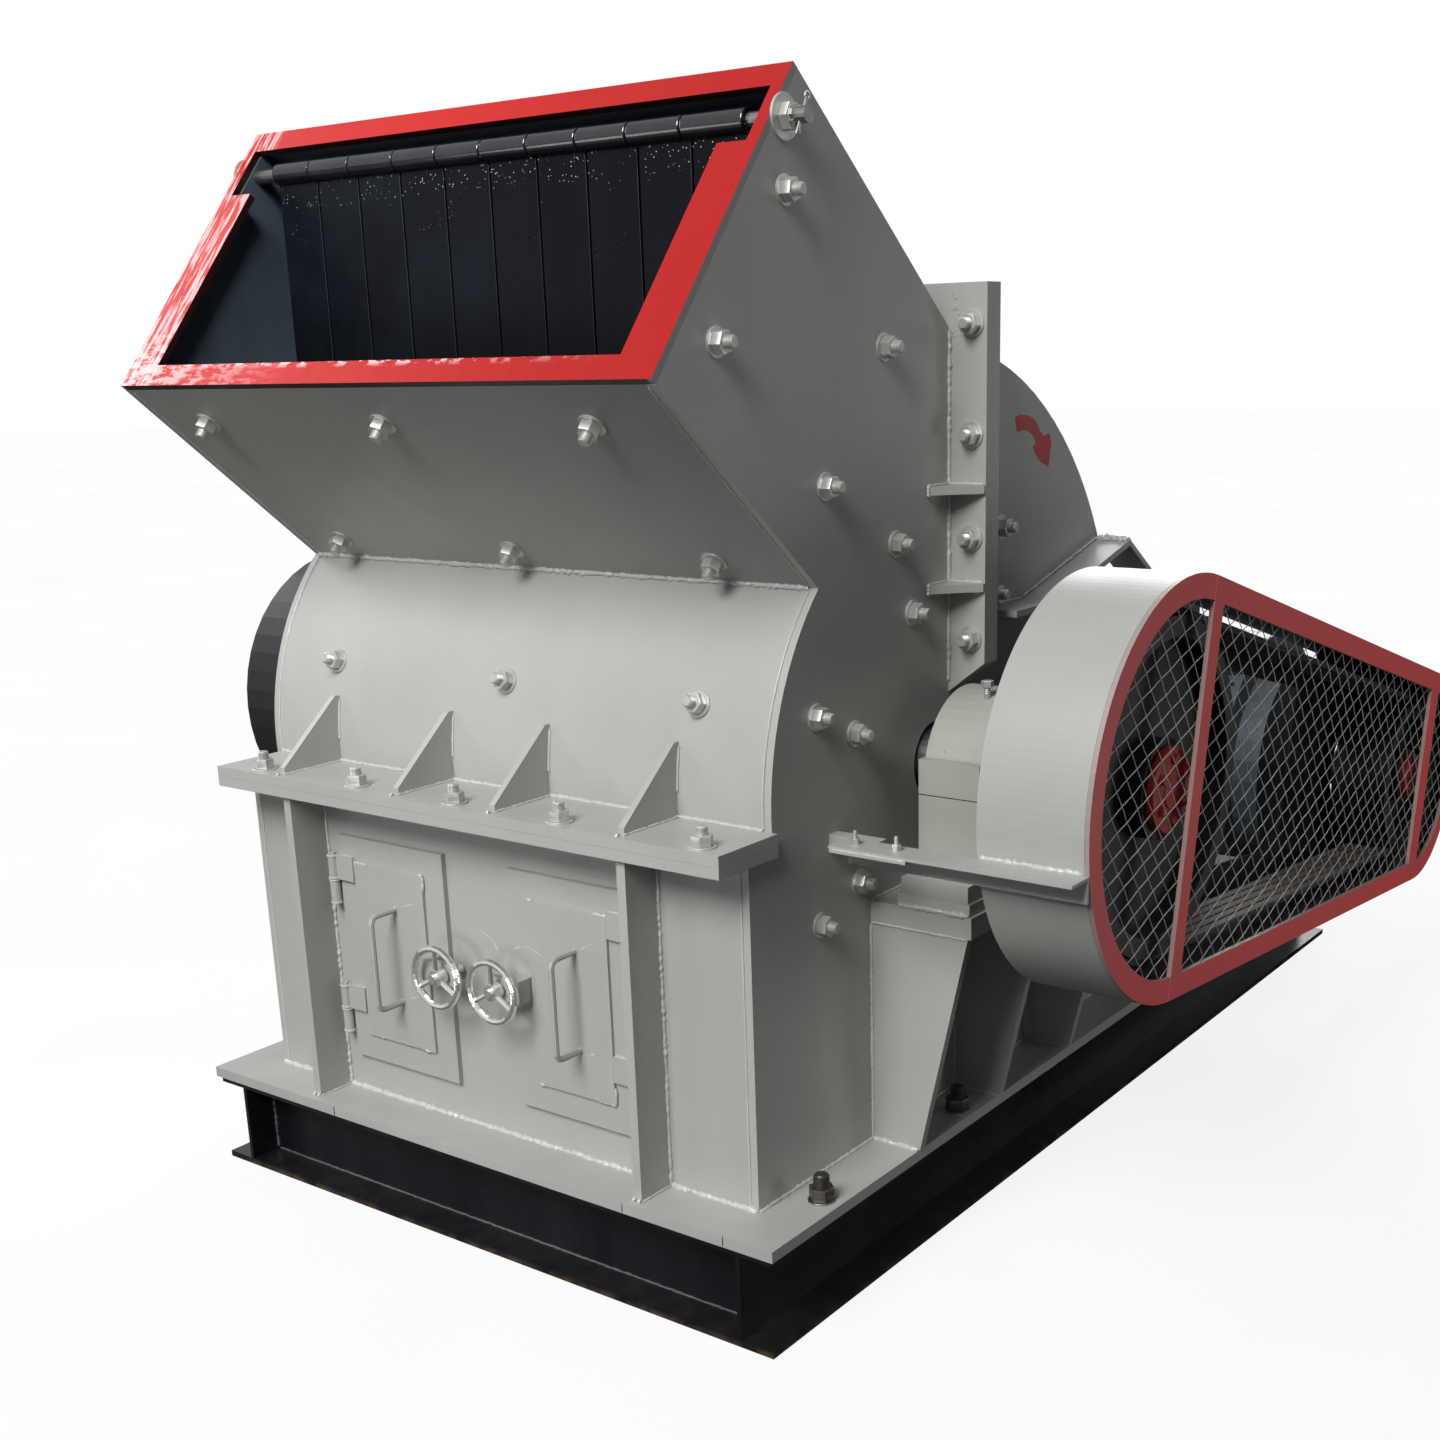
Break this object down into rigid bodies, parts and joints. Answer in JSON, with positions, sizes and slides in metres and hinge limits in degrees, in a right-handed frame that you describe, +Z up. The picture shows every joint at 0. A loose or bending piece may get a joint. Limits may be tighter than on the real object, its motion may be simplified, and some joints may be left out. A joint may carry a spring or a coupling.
{
  "type": "hammer crusher",
  "caption": "Hammer crusher with an inclined feed chute behind a flap curtain, clamped front doors, and a motor driving the rotor through a guarded belt on a beam base.",
  "frame": {"origin": "floor level, in the machine's middle plane, below the lower housing's front face", "axes": "+X to the belt-drive side, +Y from the feed side to the motor, +Z up"},
  "size_m": [2.0225, 2.632, 1.955],
  "materials": {
    "bearing_paint": "grey painted casting",
    "belt": "matt",
    "black_paint": "gloss black paint",
    "cast": "black painted casting",
    "chrome": "polished",
    "grey_paint": "satin grey paint with weld beads",
    "motor_paint": "blue-grey motor enamel",
    "red_paint": "brushed-on red paint",
    "steel": "machined steel",
    "zinc": "zinc plated"
  },
  "bodies": {
    "machine": {"base_beam_left": "black_paint", "base_beam_right": "black_paint", "base_beam_front": "black_paint", "base_beam_middle": "black_paint", "base_beam_rear": "black_paint", "sole_plate": "grey_paint", "lower_front_wall": "grey_paint", "lower_rear_wall": "grey_paint", "lower_left_wall": "grey_paint", "lower_right_wall": "grey_paint", "front_flange_lower": "grey_paint", "front_flange_upper": "grey_paint", "curved_front_plate": "grey_paint", "chute_floor": "grey_paint", "chute_roof": "grey_paint", "upper_left_wall": "grey_paint", "upper_right_wall": "grey_paint", "mouth_frame": "red_paint", "chute_liner": "black_paint", "curtain_rod": "steel", "joint_flange": "grey_paint", "rear_cover": "grey_paint", "hinge_left_lower": "grey_paint", "hinge_left_upper": "grey_paint", "hinge_right_lower": "grey_paint", "hinge_right_upper": "grey_paint", "pedestal_left": "grey_paint", "pedestal_right": "grey_paint", "bearing_left": "bearing_paint", "bearing_right": "bearing_paint", "motor": "motor_paint", "motor_rails": "black_paint", "belt_loop": "belt", "guard_band": "grey_paint", "guard_ring": "red_paint", "guard_back": "black_paint", "guard_mesh": "zinc", "guard_support": "grey_paint", "guard_post": "grey_paint"},
    "rotor": {"rotor": "steel", "flywheel": "cast", "crusher_pulley": "cast"},
    "motor_drive": {"motor_pulley": "cast"},
    "curtain": {"flap_curtain": "black_paint"},
    "left_door": {"door_left": "grey_paint"},
    "right_door": {"door_right": "grey_paint"},
    "left_wheel": {"hand_wheel_left": "chrome"},
    "right_wheel": {"hand_wheel_right": "chrome"}
  },
  "joints": [
    {"name": "rotor_spin", "type": "hinge", "parent": "machine", "child": "rotor", "pos_m": [0, 0.556, 0.852], "axis": [1, 0, 0], "continuous": true},
    {"name": "motor_spin", "type": "hinge", "parent": "machine", "child": "motor_drive", "pos_m": [0.985, 1.896, 0.6], "axis": [1, 0, 0], "continuous": true},
    {"name": "curtain_swing", "type": "hinge", "parent": "machine", "child": "curtain", "pos_m": [0, 0.1375, 1.8785], "axis": [1, 0, 0], "range_deg": [-12, 50]},
    {"name": "left_door_hinge", "type": "hinge", "parent": "machine", "child": "left_door", "pos_m": [-0.367, -0.016, 0.5], "axis": [0, 0, 1], "range_deg": [-100, 0]},
    {"name": "right_door_hinge", "type": "hinge", "parent": "machine", "child": "right_door", "pos_m": [0.367, -0.016, 0.5], "axis": [0, 0, 1], "range_deg": [0, 100]},
    {"name": "left_clamp_turn", "type": "hinge", "parent": "left_door", "child": "left_wheel", "pos_m": [-0.056, -0.066, 0.502], "axis": [0, -1, 0], "continuous": true},
    {"name": "right_clamp_turn", "type": "hinge", "parent": "right_door", "child": "right_wheel", "pos_m": [0.082, -0.066, 0.502], "axis": [0, -1, 0], "continuous": true}
  ],
  "couplings": [
    {"joint": "motor_spin", "follows": "rotor_spin", "ratio": 1.7273}
  ]
}
